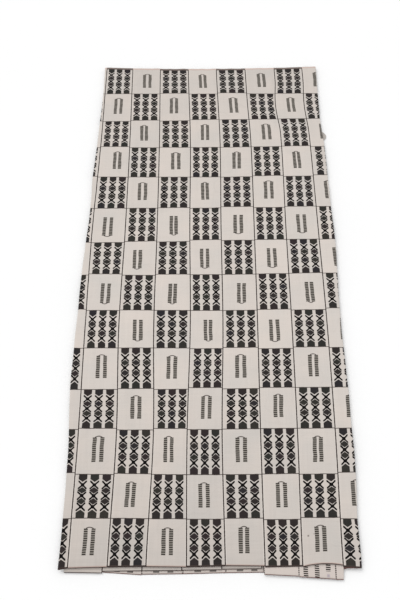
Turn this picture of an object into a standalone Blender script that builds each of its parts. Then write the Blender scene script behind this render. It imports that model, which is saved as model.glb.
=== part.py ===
"""A folded strip-woven cotton cloth, lying flat.

Fifteen narrow strips are sewn edge to edge. Both long sides of the cloth are turned under,
and the cloth is then folded once crosswise at its far end, so that four layers lie on one
another. Lengths are in metres and +Z is up. The near end is towards -Y and the crosswise
fold towards +Y. Plan sizes are first measured from the near end of the top layer's last
woven row and the middle of the top layer, then moved so that the origin lies below the
middle of the bundle.
"""

import math
from collections import namedtuple

import bmesh
import bpy

MM = 0.001

# The weave: strip and row sizes, and the cloth's own thickness.
STRIP_WIDTH = 0.085
LEFT_TURNED_WIDTH = 0.0855
RIGHT_TURNED_WIDTH = 0.081
ROW_LENGTH = 0.0995
ROWS_PER_HALF = 14
CLOTH_THICKNESS = 0.0012
SEAM_GAP = 0.0003
TOP_SEAM_COUNT = 8

# The stack: mid-surface radii about the level halfway up, and the height of that level.
OUTER_RADIUS = 0.0040
INNER_RADIUS = 0.0016
SIDE_FOLD_RADIUS = (OUTER_RADIUS - INNER_RADIUS) / 2
SIDE_FOLD_ARC = math.pi * SIDE_FOLD_RADIUS
STACK_MIDDLE = OUTER_RADIUS + CLOTH_THICKNESS / 2
STACK_HEIGHT = 2 * OUTER_RADIUS
FOLD_OVERHANG = SIDE_FOLD_RADIUS + CLOTH_THICKNESS / 2

# The plan: where the outline's middle lies in the measured plan.
PLAN_MIDDLE_X = 0.01075
PLAN_MIDDLE_Y = 0.6870

# Slow swell of the upper layers: its height, its two wavelengths, where each wave starts
# as a part of its length, and how each bends with the other direction, in turns per metre
# and in radians.
SWELL_HEIGHT = 0.0022
SWELL_ACROSS = 0.47
SWELL_ACROSS_START = 0.18
SWELL_ACROSS_BEND = 0.9
SWELL_ACROSS_BEND_RATE = 0.65
SWELL_ALONG = 0.61
SWELL_ALONG_START = 0.35
SWELL_ALONG_SLANT = 0.8

# The near lips: where they begin, and how far the turned-under flap droops at its reach.
LIP_START = 0.018
FLAP_REACH = 0.025
FLAP_DROP = 0.0024
CORNER_STEP_X = 0.2915
CORNER_STEP_RUN = 0.0015

# A small tuck of cloth that stands out of the lower right-hand fold.
TUCK_Y = 1.137
TUCK_HALF_LENGTH = 0.018
TUCK_REACH = 0.0160
TUCK_ROOT = 0.022
TUCK_STATIONS = (-1.0, -0.6, 0.0, 0.6, 1.0)

FOLD_STEPS = 6
SIDE_FOLD_STEPS = 4

# Sideways drift of each seam, in mm, from the far end to the near end of the top layer,
# then at the near end of the lower half, and how far a tug to the left draws it near the
# far end. The tug's middle and reach are parts of the half's length.
UPPER_COLUMNS = 6
TUG_PLACE = 0.107
TUG_REACH = 0.07
Drift = namedtuple("Drift", "far upper mid_far mid_near lower near lower_half tug")
SEAM_DRIFT = (
    Drift(far=4, upper=3, mid_far=-3, mid_near=-2, lower=1, near=0, lower_half=-6, tug=0),
    Drift(far=-3, upper=0, mid_far=0, mid_near=-3, lower=5, near=0, lower_half=-9, tug=0),
    Drift(far=-5, upper=-1, mid_far=0, mid_near=-1, lower=6, near=-2, lower_half=-11, tug=0),
    Drift(far=-6, upper=2, mid_far=2, mid_near=5, lower=-1, near=0, lower_half=-8, tug=0),
    Drift(far=-7, upper=1, mid_far=0, mid_near=1, lower=-5, near=-2, lower_half=-1, tug=0),
    Drift(far=-6, upper=3, mid_far=3, mid_near=2, lower=-1, near=-2, lower_half=1, tug=1),
    Drift(far=-4, upper=4, mid_far=2, mid_near=2, lower=-1, near=-7, lower_half=-4, tug=6.5),
    Drift(far=-6, upper=0, mid_far=2, mid_near=4, lower=1, near=-6, lower_half=-10, tug=5),
)

# Outer edges of the top layer's long folds, in mm, at each woven row line from the crosswise
# fold to the near end.
RowEdges = namedtuple("RowEdges", "row left right")
UPPER_EDGES = (
    RowEdges(row=0, left=-300, right=333.5),
    RowEdges(row=1, left=-299, right=332.5),
    RowEdges(row=2, left=-302.5, right=332),
    RowEdges(row=3, left=-306, right=337.5),
    RowEdges(row=4, left=-311, right=338),
    RowEdges(row=5, left=-310.5, right=339),
    RowEdges(row=6, left=-315, right=342),
    RowEdges(row=7, left=-319.5, right=339),
    RowEdges(row=8, left=-321.5, right=336),
    RowEdges(row=9, left=-323, right=337),
    RowEdges(row=10, left=-325, right=338),
    RowEdges(row=11, left=-319, right=338),
    RowEdges(row=12, left=-316.5, right=337),
    RowEdges(row=13, left=-316, right=331.5),
    RowEdges(row=14, left=-318.5, right=331),
)
LEFT_UPPER = tuple(edges.left for edges in UPPER_EDGES)
RIGHT_UPPER = tuple(edges.right for edges in UPPER_EDGES)

# How far each seam under the right-hand fold slips to the left at the upper near end, in mm.
SideSlip = namedtuple("SideSlip", "seam slip")
SIDE_SLIPS = (SideSlip(8, 10.5), SideSlip(9, 7.7), SideSlip(10, 0.6))
SIDE_SLIP_REACH = 0.10

# Outer edges of the lower half, in mm, in the same columns as the drift.
Edge = namedtuple("Edge", "far upper mid_far mid_near lower near")
LEFT_LOWER = Edge(far=-300, upper=-301, mid_far=-304, mid_near=-306, lower=-307, near=-306)
RIGHT_LOWER = Edge(far=333.5, upper=331, mid_far=333, mid_near=333, lower=331, near=328)

# Each strip, from the left selvedge to the right: its seam numbers run from `seam` - 1 to
# `seam`, and its ends are in mm from the last woven row line of the top layer, at its
# left and right side. `lip` is how far the near end of the upper half rises or sinks.
# `bow` is how far the upper end curves back between its sides, in mm.
Strip = namedtuple(
    "Strip", "name seam upper_left upper_right lower_left lower_right lip bow", defaults=(0.0,)
)
STRIPS = (
    Strip("strip_01", -4, 5, 5, -3, -4, 0.0),
    Strip("strip_02", -3, 5, 5, -5, -6, 0.0),
    Strip("strip_03", -2, 5, 5, -6.5, -7, 0.0),
    Strip("strip_04", -1, 5, 5, -7, -8, 0.0),
    Strip("strip_05", 0, 4, -2, -11.5, -8, -0.8),
    Strip("strip_06", 1, -2, 0, -7, -9, -0.8),
    Strip("strip_07", 2, 0, 1, -10, -15, -0.8),
    Strip("strip_08", 3, 1, 0, -14, -13, -0.8),
    Strip("strip_09", 4, 0, 2, -13, -11, -0.8),
    Strip("strip_10", 5, 3, 2, -11, -10, -0.8),
    Strip("strip_11", 6, 0, 1.5, -9.5, -10, -0.8),
    Strip("strip_12", 7, 0.5, 3.5, -8, -6, 1.6, 4.5),
    Strip("strip_13", 8, 1, -24.5, -5, -5, -0.8),
    Strip("strip_14", 9, -24, -19, -6, -8, 0.0),
    Strip("strip_15", 10, -18, -14.5, -8, -8, 0.0),
)
LEFT_FOLD_STRIP = 0
RIGHT_FOLD_STRIP = 8
LEFT_FOLD_ENDS = Strip("left_fold", 0, -5, -5, -10, -10, 0.0)
RIGHT_FOLD_ENDS = Strip("right_fold", 8, -2, -2, 3, 3, 0.0)

# Crest line of the crosswise fold, in mm, from the left side to the right.
FarEdge = namedtuple("FarEdge", "left mid_left middle mid_right right")
FAR_EDGE = FarEdge(left=1398.5, mid_left=1392, middle=1388, mid_right=1388, right=1391)

CLOTH_COLOUR = (0.62, 0.55, 0.50, 1.0)
CLOTH_ROUGHNESS = 0.9

# One station along a strip: which half it lies in, its plan y (None at an end), and its
# turn about the crosswise fold.
Station = namedtuple("Station", "upper y turn")


def clear_scene():
    """Removes every object of the scene."""
    for found in list(bpy.data.objects):
        bpy.data.objects.remove(found, do_unlink=True)


def smooth_value(columns, place):
    """A curve through evenly spaced columns, where `place` runs from 0 to 1."""
    last = len(columns) - 1
    along = min(max(place, 0.0), 1.0) * last
    left = min(int(along), last - 1)
    part = along - left
    before = columns[max(left - 1, 0)]
    start = columns[left]
    end = columns[left + 1]
    after = columns[min(left + 2, last)]
    slope_in = (end - before) / 2
    slope_out = (after - start) / 2
    square = part * part
    cube = square * part
    return (
        (2 * cube - 3 * square + 1) * start
        + (cube - 2 * square + part) * slope_in
        + (3 * square - 2 * cube) * end
        + (cube - square) * slope_out
    )


def row_place(y):
    """How far along the half a plan y lies: 0 at the far fold and 1 at the near end."""
    return 1 - y / (ROWS_PER_HALF * ROW_LENGTH)


def drift(number, y, upper):
    """Sideways drift in metres of one of the seams that show on the top layer."""
    row = SEAM_DRIFT[number]
    place = row_place(y)
    if upper:
        near = max(0.0, 1 - ((place - TUG_PLACE) / TUG_REACH) ** 2)
        return (smooth_value(row[:UPPER_COLUMNS], place) - row.tug * near * near) * MM
    return (row.far + (row.lower_half - row.far) * min(max(place, 0.0), 1.0)) * MM


def side_slip(number, y, upper):
    """How far a seam under the right-hand fold slips to the left near its end."""
    if not upper:
        return 0.0
    share = min(max(1 - y / SIDE_SLIP_REACH, 0.0), 1.0)
    slips = {row.seam: row.slip * MM for row in SIDE_SLIPS}
    return slips[number] * share * share * (3 - 2 * share)


def seam_across(number, y, upper):
    """Where a seam lies across the cloth when the sides are opened out."""
    last = TOP_SEAM_COUNT - 1
    middle = (TOP_SEAM_COUNT - 1) / 2
    if number < 0:
        first = -middle * STRIP_WIDTH + drift(0, y, upper)
        return first - STRIP_WIDTH - (-number - 1) * LEFT_TURNED_WIDTH
    if number > last:
        edge = (last - middle) * STRIP_WIDTH + drift(last, y, upper)
        edge += STRIP_WIDTH + (number - last - 1) * RIGHT_TURNED_WIDTH
        return edge + side_slip(number, y, upper)
    return (number - middle) * STRIP_WIDTH + drift(number, y, upper)


def fold_lines(y, upper):
    """The two lines, across the opened cloth, at which its sides turn under."""
    place = row_place(y)
    left = smooth_value(LEFT_UPPER if upper else LEFT_LOWER, place) * MM
    right = smooth_value(RIGHT_UPPER if upper else RIGHT_LOWER, place) * MM
    return left + FOLD_OVERHANG, right - FOLD_OVERHANG


def turned(across, lines):
    """Plan x and radius of a point, given how far across the opened cloth it lies."""
    left, right = lines
    beyond = max(left - across, across - right)
    if beyond <= 0:
        return across, OUTER_RADIUS
    side = -1 if across < left else 1
    line = left if side < 0 else right
    if beyond < SIDE_FOLD_ARC:
        angle = beyond / SIDE_FOLD_RADIUS
        out = SIDE_FOLD_RADIUS * math.sin(angle)
        return line + side * out, OUTER_RADIUS - SIDE_FOLD_RADIUS * (1 - math.cos(angle))
    return line - side * (beyond - SIDE_FOLD_ARC), INNER_RADIUS


def fold_axis_y(x):
    """Plan y of the crosswise fold's axis at a plan x."""
    place = (x / MM - LEFT_UPPER[0]) / (RIGHT_UPPER[0] - LEFT_UPPER[0])
    crest = smooth_value(FAR_EDGE, place) * MM
    return crest - OUTER_RADIUS - CLOTH_THICKNESS / 2


def swell(x, y):
    """How far the top layer rises above its lowest level."""
    full_turn = 2 * math.pi
    bend = SWELL_ACROSS_BEND * math.sin(full_turn * SWELL_ACROSS_BEND_RATE * y)
    across = math.sin(full_turn * (x / SWELL_ACROSS + SWELL_ACROSS_START) + bend)
    slant = SWELL_ALONG_SLANT * x
    along = math.cos(full_turn * (y / SWELL_ALONG + SWELL_ALONG_START + slant))
    return SWELL_HEIGHT * (2 + across + along) / 4


def tuck(x, y, upper):
    """Sideways pull of the lower half's right-hand fold, where a tuck stands out."""
    if upper:
        return 0.0
    near = max(0.0, 1 - ((y - TUCK_Y) / TUCK_HALF_LENGTH) ** 2)
    root = RIGHT_LOWER.upper * MM - TUCK_ROOT
    part = min(max((x - root) / TUCK_ROOT, 0.0), 1.0)
    return TUCK_REACH * near * part * part


def end_y(strip, across, limits, lines, upper):
    """Plan y of a strip's end, at a point across the strip."""
    left = strip.upper_left if upper else strip.lower_left
    right = strip.upper_right if upper else strip.lower_right
    low, high = limits
    fold_ends = None
    if strip.seam == LEFT_FOLD_STRIP:
        fold_ends, line = LEFT_FOLD_ENDS, lines[0]
    elif strip.seam == RIGHT_FOLD_STRIP:
        fold_ends, line = RIGHT_FOLD_ENDS, lines[1]
    if fold_ends is None:
        share = (across - low) / (high - low)
        bow = strip.bow * (1 - (2 * share - 1) ** 2) if upper else 0.0
        return (left + (right - left) * share + bow) * MM
    at_fold = fold_ends.upper_left if upper else fold_ends.lower_left
    if across <= line:
        return (left + (at_fold - left) * (across - low) / (line - low)) * MM
    if upper and strip.seam == RIGHT_FOLD_STRIP:
        x = turned(across, lines)[0]
        return (at_fold if x > CORNER_STEP_X else right) * MM
    return (at_fold + (right - at_fold) * (across - line) / (high - line)) * MM


def across_stations(strip, y, upper):
    """Points across a strip, closer together where it turns under."""
    lines = fold_lines(y, upper)
    low = seam_across(strip.seam - 1, y, upper) + SEAM_GAP / 2
    high = seam_across(strip.seam, y, upper) - SEAM_GAP / 2
    if strip.seam == LEFT_FOLD_STRIP:
        arc_end = lines[0] - SIDE_FOLD_ARC
        knots = [low, (low + arc_end) / 2]
        knots += [arc_end + SIDE_FOLD_ARC * i / SIDE_FOLD_STEPS for i in range(SIDE_FOLD_STEPS + 1)]
        return knots + [high]
    if strip.seam == RIGHT_FOLD_STRIP:
        arc_end = lines[1] + SIDE_FOLD_ARC
        corner = 2 * lines[1] + SIDE_FOLD_ARC - CORNER_STEP_X
        corner = min(max(corner, arc_end + CORNER_STEP_RUN), high - 2 * CORNER_STEP_RUN)
        knots = [low]
        knots += [lines[1] + SIDE_FOLD_ARC * i / SIDE_FOLD_STEPS for i in range(SIDE_FOLD_STEPS + 1)]
        return knots + [corner - CORNER_STEP_RUN / 2, corner + CORNER_STEP_RUN / 2, high]
    return [low, (low + high) / 2, high]


def stations_along(strip):
    """The stations along a strip, from its upper near end round to its lower near end."""
    rows = [ROW_LENGTH * k for k in range(1, ROWS_PER_HALF)]
    lower = list(rows)
    if strip.seam == RIGHT_FOLD_STRIP:
        lower = sorted(lower + [TUCK_Y + TUCK_HALF_LENGTH * part for part in TUCK_STATIONS])
    half_turn = [math.pi * k / FOLD_STEPS for k in range(FOLD_STEPS + 1)]
    stations = [Station(True, None, 0.0), Station(True, LIP_START, 0.0)]
    stations += [Station(True, y, 0.0) for y in rows]
    stations += [Station(turn <= math.pi / 2, math.inf, turn) for turn in half_turn]
    stations += [Station(False, y, 0.0) for y in reversed(lower)]
    return stations + [Station(False, LIP_START, 0.0), Station(False, None, 0.0)]


def surface_point(strip, station, index):
    """The mid-surface point at a station along a strip and a knot across it."""
    far_y = ROWS_PER_HALF * ROW_LENGTH
    at_end = station.y is None
    plan_y = 0.0 if at_end else min(station.y, far_y)
    knots = across_stations(strip, plan_y, station.upper)
    lines = fold_lines(plan_y, station.upper)
    x, radius = turned(knots[index], lines)
    if at_end:
        limits = (knots[0], knots[-1])
        plan_y = end_y(strip, knots[index], limits, lines, station.upper)
    if station.y == math.inf:
        y = fold_axis_y(x) + radius * math.sin(station.turn)
        height = STACK_MIDDLE + radius * math.cos(station.turn)
    else:
        y = plan_y
        height = STACK_MIDDLE + (radius if station.upper else -radius)
    share = (height - CLOTH_THICKNESS / 2) / STACK_HEIGHT
    height += share * swell(x, y)
    if at_end and station.upper:
        height += lip_rise(strip, radius, y)
    x += tuck(x, y, station.upper)
    return x - PLAN_MIDDLE_X, y - PLAN_MIDDLE_Y, height


def lip_rise(strip, radius, y):
    """How far the near end of the upper half rises or sinks."""
    on_top = (radius - INNER_RADIUS) / (OUTER_RADIUS - INNER_RADIUS)
    reach = min(max(-y / FLAP_REACH, 0.0), 1.0)
    return on_top * strip.lip * MM - (1 - on_top) * reach * FLAP_DROP


def cotton(name):
    """A plain material for one strip."""
    material = bpy.data.materials.new(name)
    material.use_nodes = True
    shader = material.node_tree.nodes["Principled BSDF"]
    shader.inputs["Base Color"].default_value = CLOTH_COLOUR
    shader.inputs["Roughness"].default_value = CLOTH_ROUGHNESS
    shader.inputs["Metallic"].default_value = 0.0
    material.diffuse_color = CLOTH_COLOUR
    return material


def build_strip(strip, collection):
    """One woven strip: a grid laid along the folded path and given its thickness."""
    stations = stations_along(strip)
    across_count = len(across_stations(strip, 0.0, True))
    along_spans = len(stations) - 1
    across_spans = across_count - 1
    sheet = bmesh.new()
    bmesh.ops.create_grid(sheet, x_segments=across_spans, y_segments=along_spans, size=1.0)
    for vertex in sheet.verts:
        index = round((vertex.co.x + 1) / 2 * across_spans)
        step = round((vertex.co.y + 1) / 2 * along_spans)
        vertex.co = surface_point(strip, stations[step], index)
    mesh = bpy.data.meshes.new(strip.name)
    sheet.to_mesh(mesh)
    sheet.free()
    strip_object = bpy.data.objects.new(strip.name, mesh)
    mesh.materials.append(cotton(strip.name + "_cotton"))
    collection.objects.link(strip_object)
    shell = strip_object.modifiers.new("thickness", "SOLIDIFY")
    shell.thickness = CLOTH_THICKNESS
    shell.offset = 0.0
    shell.use_even_offset = True
    return strip_object


def main():
    """Builds the whole folded cloth."""
    clear_scene()
    collection = bpy.data.collections.new("folded_strip_cloth")
    bpy.context.scene.collection.children.link(collection)
    for strip in STRIPS:
        build_strip(strip, collection)


main()
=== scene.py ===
"""Dresses the folded strip-woven cloth: fine cloth sheets, weave, seams, light and camera."""

from __future__ import annotations

import logging
import math
from dataclasses import dataclass, field
from enum import Enum
from typing import Callable, Union

import bmesh
import bpy
from mathutils import Matrix, Vector, noise


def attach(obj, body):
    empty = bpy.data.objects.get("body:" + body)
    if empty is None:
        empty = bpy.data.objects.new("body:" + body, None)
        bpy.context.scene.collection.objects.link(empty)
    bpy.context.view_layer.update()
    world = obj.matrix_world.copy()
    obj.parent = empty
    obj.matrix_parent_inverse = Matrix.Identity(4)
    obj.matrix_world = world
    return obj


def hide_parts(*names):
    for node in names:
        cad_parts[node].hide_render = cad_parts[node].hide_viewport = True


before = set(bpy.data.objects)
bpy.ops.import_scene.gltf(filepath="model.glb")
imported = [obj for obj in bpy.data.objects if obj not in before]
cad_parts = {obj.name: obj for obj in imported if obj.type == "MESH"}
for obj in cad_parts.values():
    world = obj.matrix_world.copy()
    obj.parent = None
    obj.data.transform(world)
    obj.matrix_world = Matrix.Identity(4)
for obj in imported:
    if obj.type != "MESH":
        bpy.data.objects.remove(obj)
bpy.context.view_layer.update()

MM = 0.001
FULL_TURN = 2 * math.pi
SPECULAR_LEVEL = 0.1
BODY = "root"

log = logging.getLogger("cloth")


# The folded cloth's plan and stack, in the sizes of the solids.


class Half(Enum):
    """The two halves of the cloth, above and below the crosswise fold."""

    UPPER = "upper"
    LOWER = "lower"


@dataclass(frozen=True)
class ClothSizes:
    """Named sizes of the folded cloth, in metres."""

    strip_width: float = 0.085
    left_turned_width: float = 0.0855
    right_turned_width: float = 0.081
    row_length: float = 0.0995
    rows: int = 14
    thickness: float = 0.0012
    seam_gap: float = 0.0003
    seams_on_top: int = 8
    outer_radius: float = 0.0040
    inner_radius: float = 0.0016
    middle_x: float = 0.01075
    middle_y: float = 0.6870
    flat_length: float = 2.80

    @property
    def side_radius(self) -> float:
        """Radius of each long fold."""
        return (self.outer_radius - self.inner_radius) / 2

    @property
    def side_arc(self) -> float:
        """Length of cloth in the bend of each long fold."""
        return math.pi * self.side_radius

    @property
    def stack_middle(self) -> float:
        """Height of the level halfway up the stack."""
        return self.outer_radius + self.thickness / 2

    @property
    def half_length(self) -> float:
        """Length of one half of the cloth, in its woven rows."""
        return self.rows * self.row_length


@dataclass(frozen=True)
class Drift:
    """Sideways drift of a seam in mm: along the top layer, at the near end of the lower
    half, and how far a tug to the left draws it near the crosswise fold."""

    far: float
    upper: float
    mid_far: float
    mid_near: float
    lower: float
    near: float
    lower_half: float
    tug: float = 0.0

    @property
    def columns(self) -> tuple[float, ...]:
        """The top layer's columns, from the far end to the near end."""
        return (self.far, self.upper, self.mid_far, self.mid_near, self.lower, self.near)


SEAM_DRIFT: tuple[Drift, ...] = (
    Drift(4, 3, -3, -2, 1, 0, -6),
    Drift(-3, 0, 0, -3, 5, 0, -9),
    Drift(-5, -1, 0, -1, 6, -2, -11),
    Drift(-6, 2, 2, 5, -1, 0, -8),
    Drift(-7, 1, 0, 1, -5, -2, -1),
    Drift(-6, 3, 3, 2, -1, -2, 1, 1),
    Drift(-4, 4, 2, 2, -1, -7, -4, 6.5),
    Drift(-6, 0, 2, 4, 1, -6, -10, 5),
)


@dataclass(frozen=True)
class RowEdges:
    """Outer edges of the long folds, in mm, at one woven row line of the top layer."""

    left: float
    right: float


# One row for each row line, from the crosswise fold to the near end.
UPPER_EDGES: tuple[RowEdges, ...] = (
    RowEdges(-300, 333.5),
    RowEdges(-299, 332.5),
    RowEdges(-302.5, 332),
    RowEdges(-306, 337.5),
    RowEdges(-311, 338),
    RowEdges(-310.5, 339),
    RowEdges(-315, 342),
    RowEdges(-319.5, 339),
    RowEdges(-321.5, 336),
    RowEdges(-323, 337),
    RowEdges(-325, 338),
    RowEdges(-319, 338),
    RowEdges(-316.5, 337),
    RowEdges(-316, 331.5),
    RowEdges(-318.5, 331),
)
LEFT_EDGE: dict[Half, tuple[float, ...]] = {
    Half.UPPER: tuple(edges.left for edges in UPPER_EDGES),
    Half.LOWER: (-300, -301, -304, -306, -307, -306),
}
RIGHT_EDGE: dict[Half, tuple[float, ...]] = {
    Half.UPPER: tuple(edges.right for edges in UPPER_EDGES),
    Half.LOWER: (333.5, 331, 333, 333, 331, 328),
}
LOWER_EDGE_AT_TUCK = 331
# The far edge of the bundle, in mm, at five places from left to right.
FAR_EDGE: tuple[float, ...] = (1398.5, 1392, 1388, 1388, 1391)
# How far the seams beyond the right-hand fold slip outward at the upper near end, in mm.
SIDE_SLIPS: dict[int, float] = {8: 10.5, 9: 7.7, 10: 0.6}


@dataclass(frozen=True)
class RowShift:
    """How far a woven row line lies beyond its even place, in mm, at three places across."""

    left: float
    middle: float
    right: float


# One row for each row line, from the first one after the crosswise fold.
ROW_SHIFTS: tuple[RowShift, ...] = (
    RowShift(1, -2, -7),
    RowShift(-1, 0, 1),
    RowShift(7, 2, 4),
    RowShift(6, 1, 4),
    RowShift(4, 2, 3),
    RowShift(-2, 1, 2),
    RowShift(3, 0, 3),
    RowShift(3, -1, 2),
    RowShift(1, -2, -1),
    RowShift(-5, -4, -2),
    RowShift(0, -2, 0),
    RowShift(-2, -6, -3),
    RowShift(1, -1, 0),
    RowShift(3, 3, 3),
)
# Each row line also lies up to this many mm off, in turn from strip to strip.
ROW_JOG = 1.1
ROW_JOG_BY_STRIP = 2.4
ROW_JOG_BY_ROW = 1.7


@dataclass(frozen=True)
class Strip:
    """One woven strip: its seam number, its ends in mm from the last woven row line, and how
    far its upper end is raised and bows back."""

    name: str
    seam: int
    upper_left: float
    upper_right: float
    lower_left: float
    lower_right: float
    lip: float = 0.0
    bow: float = 0.0


STRIPS: tuple[Strip, ...] = (
    Strip("strip_01", -4, 5, 5, -3, -4),
    Strip("strip_02", -3, 5, 5, -5, -6),
    Strip("strip_03", -2, 5, 5, -6.5, -7),
    Strip("strip_04", -1, 5, 5, -7, -8),
    Strip("strip_05", 0, 4, -2, -11.5, -8, -0.8),
    Strip("strip_06", 1, -2, 0, -7, -9, -0.8),
    Strip("strip_07", 2, 0, 1, -10, -15, -0.8),
    Strip("strip_08", 3, 1, 0, -14, -13, -0.8),
    Strip("strip_09", 4, 0, 2, -13, -11, -0.8),
    Strip("strip_10", 5, 3, 2, -11, -10, -0.8),
    Strip("strip_11", 6, 0, 1.5, -9.5, -10, -0.8),
    Strip("strip_12", 7, 0.5, 3.5, -8, -6, 1.6, 4.5),
    Strip("strip_13", 8, 1, -24.5, -5, -5, -0.8),
    Strip("strip_14", 9, -24, -19, -6, -8),
    Strip("strip_15", 10, -18, -14.5, -8, -8),
)
LEFT_FOLD_SEAM = 0
RIGHT_FOLD_SEAM = 8
# Ends of the two folded strips at their fold lines, in mm from the last woven row line.
FOLD_ENDS: dict[tuple[int, Half], float] = {
    (LEFT_FOLD_SEAM, Half.UPPER): -5.0,
    (LEFT_FOLD_SEAM, Half.LOWER): -10.0,
    (RIGHT_FOLD_SEAM, Half.UPPER): -2.0,
    (RIGHT_FOLD_SEAM, Half.LOWER): 3.0,
}
# The weave map adds the first number to a seam's number; one unit of the hem map is 100 mm.
UV_STRIP_OFFSET = 10
HEM_UV_SCALE = 100.0


@dataclass(frozen=True)
class Surface:
    """Small shapes of the cloth's surface, in metres."""

    swell_height: float = 0.0022
    swell_across: float = 0.47
    swell_across_start: float = 0.18
    swell_across_bend: float = 0.9
    swell_across_bend_rate: float = 0.65
    swell_along: float = 0.61
    swell_along_start: float = 0.35
    swell_along_slant: float = 0.8
    tug_place: float = 0.107
    tug_reach: float = 0.07
    far_wander: float = 0.0015
    far_wander_size: float = 0.022
    far_wander_place: tuple[float, float] = (0.5, 9.0)
    fold_row_offset: float = -0.0034
    lower_last_line: float = 0.003
    flap_from: float = -0.006
    flap_line: float = 0.008
    slip_reach: float = 0.10
    lip_start: float = 0.018
    flap_reach: float = 0.025
    flap_drop: float = 0.0024
    corner_x: float = 0.2915
    corner_run: float = 0.0015
    tuck_y: float = 1.137
    tuck_half_length: float = 0.018
    tuck_reach: float = 0.0160
    tuck_root: float = 0.022
    pucker_height: float = 0.0005
    pucker_size: float = 0.045
    pucker_level: float = 3.0
    seam_dip: float = 0.0004
    seam_dip_width: float = 0.0045
    row_dip: float = 0.0002
    row_dip_width: float = 0.005
    edge_wander: float = 0.0012
    edge_wander_size: float = 0.07
    edge_wander_reach: float = 0.03
    upper_wander_level: float = 7.0
    lower_wander_level: float = 11.0


@dataclass(frozen=True)
class Crease:
    """A soft ridge or trough of the top layer, in metres, and its turn from the x axis."""

    x: float
    y: float
    half_length: float
    turn_deg: float
    height: float
    half_width: float


CREASES: tuple[Crease, ...] = (
    Crease(-0.185, 0.355, 0.050, 62, -0.0009, 0.006),
    Crease(-0.060, 0.500, 0.045, 40, -0.0008, 0.006),
    Crease(-0.020, 0.330, 0.040, 50, -0.0007, 0.005),
    Crease(0.105, 0.610, 0.060, 100, 0.0007, 0.009),
    Crease(-0.240, 0.130, 0.060, 15, 0.0007, 0.008),
    Crease(0.210, 0.170, 0.055, 75, -0.0007, 0.007),
    Crease(0.050, 0.900, 0.070, 20, 0.0006, 0.010),
    Crease(0.250, 1.000, 0.060, 110, 0.0009, 0.008),
)


def smooth_value(columns: tuple[float, ...], place: float) -> float:
    """A curve through evenly spaced columns.

    Args:
        columns: the values from the far end to the near end, or from left to right.
        place: where to read the curve, from 0 to 1.

    Returns:
        The curve's value there.
    """
    last = len(columns) - 1
    along = min(max(place, 0.0), 1.0) * last
    left = min(int(along), last - 1)
    part = along - left
    before = columns[max(left - 1, 0)]
    start = columns[left]
    end = columns[left + 1]
    after = columns[min(left + 2, last)]
    slope_in = (end - before) / 2
    slope_out = (after - start) / 2
    square = part * part
    cube = square * part
    return (
        (2 * cube - 3 * square + 1) * start
        + (cube - 2 * square + part) * slope_in
        + (3 * square - 2 * cube) * end
        + (cube - square) * slope_out
    )


def eased(value: float) -> float:
    """A soft step from 0 to 1."""
    part = min(max(value, 0.0), 1.0)
    return part * part * (3 - 2 * part)


@dataclass(frozen=True)
class Spot:
    """A place along a strip: its half, and either its plan y, its turn about the crosswise
    fold, or its share of the lip, from 0 at the cut end to 1 where the lip begins."""

    half: Half
    y: float = 0.0
    turn: float | None = None
    lip_share: float | None = None


@dataclass(frozen=True)
class Point:
    """A point of the cloth: its place, and where it lies in the weave."""

    place: Vector
    across: float
    row: float


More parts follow.
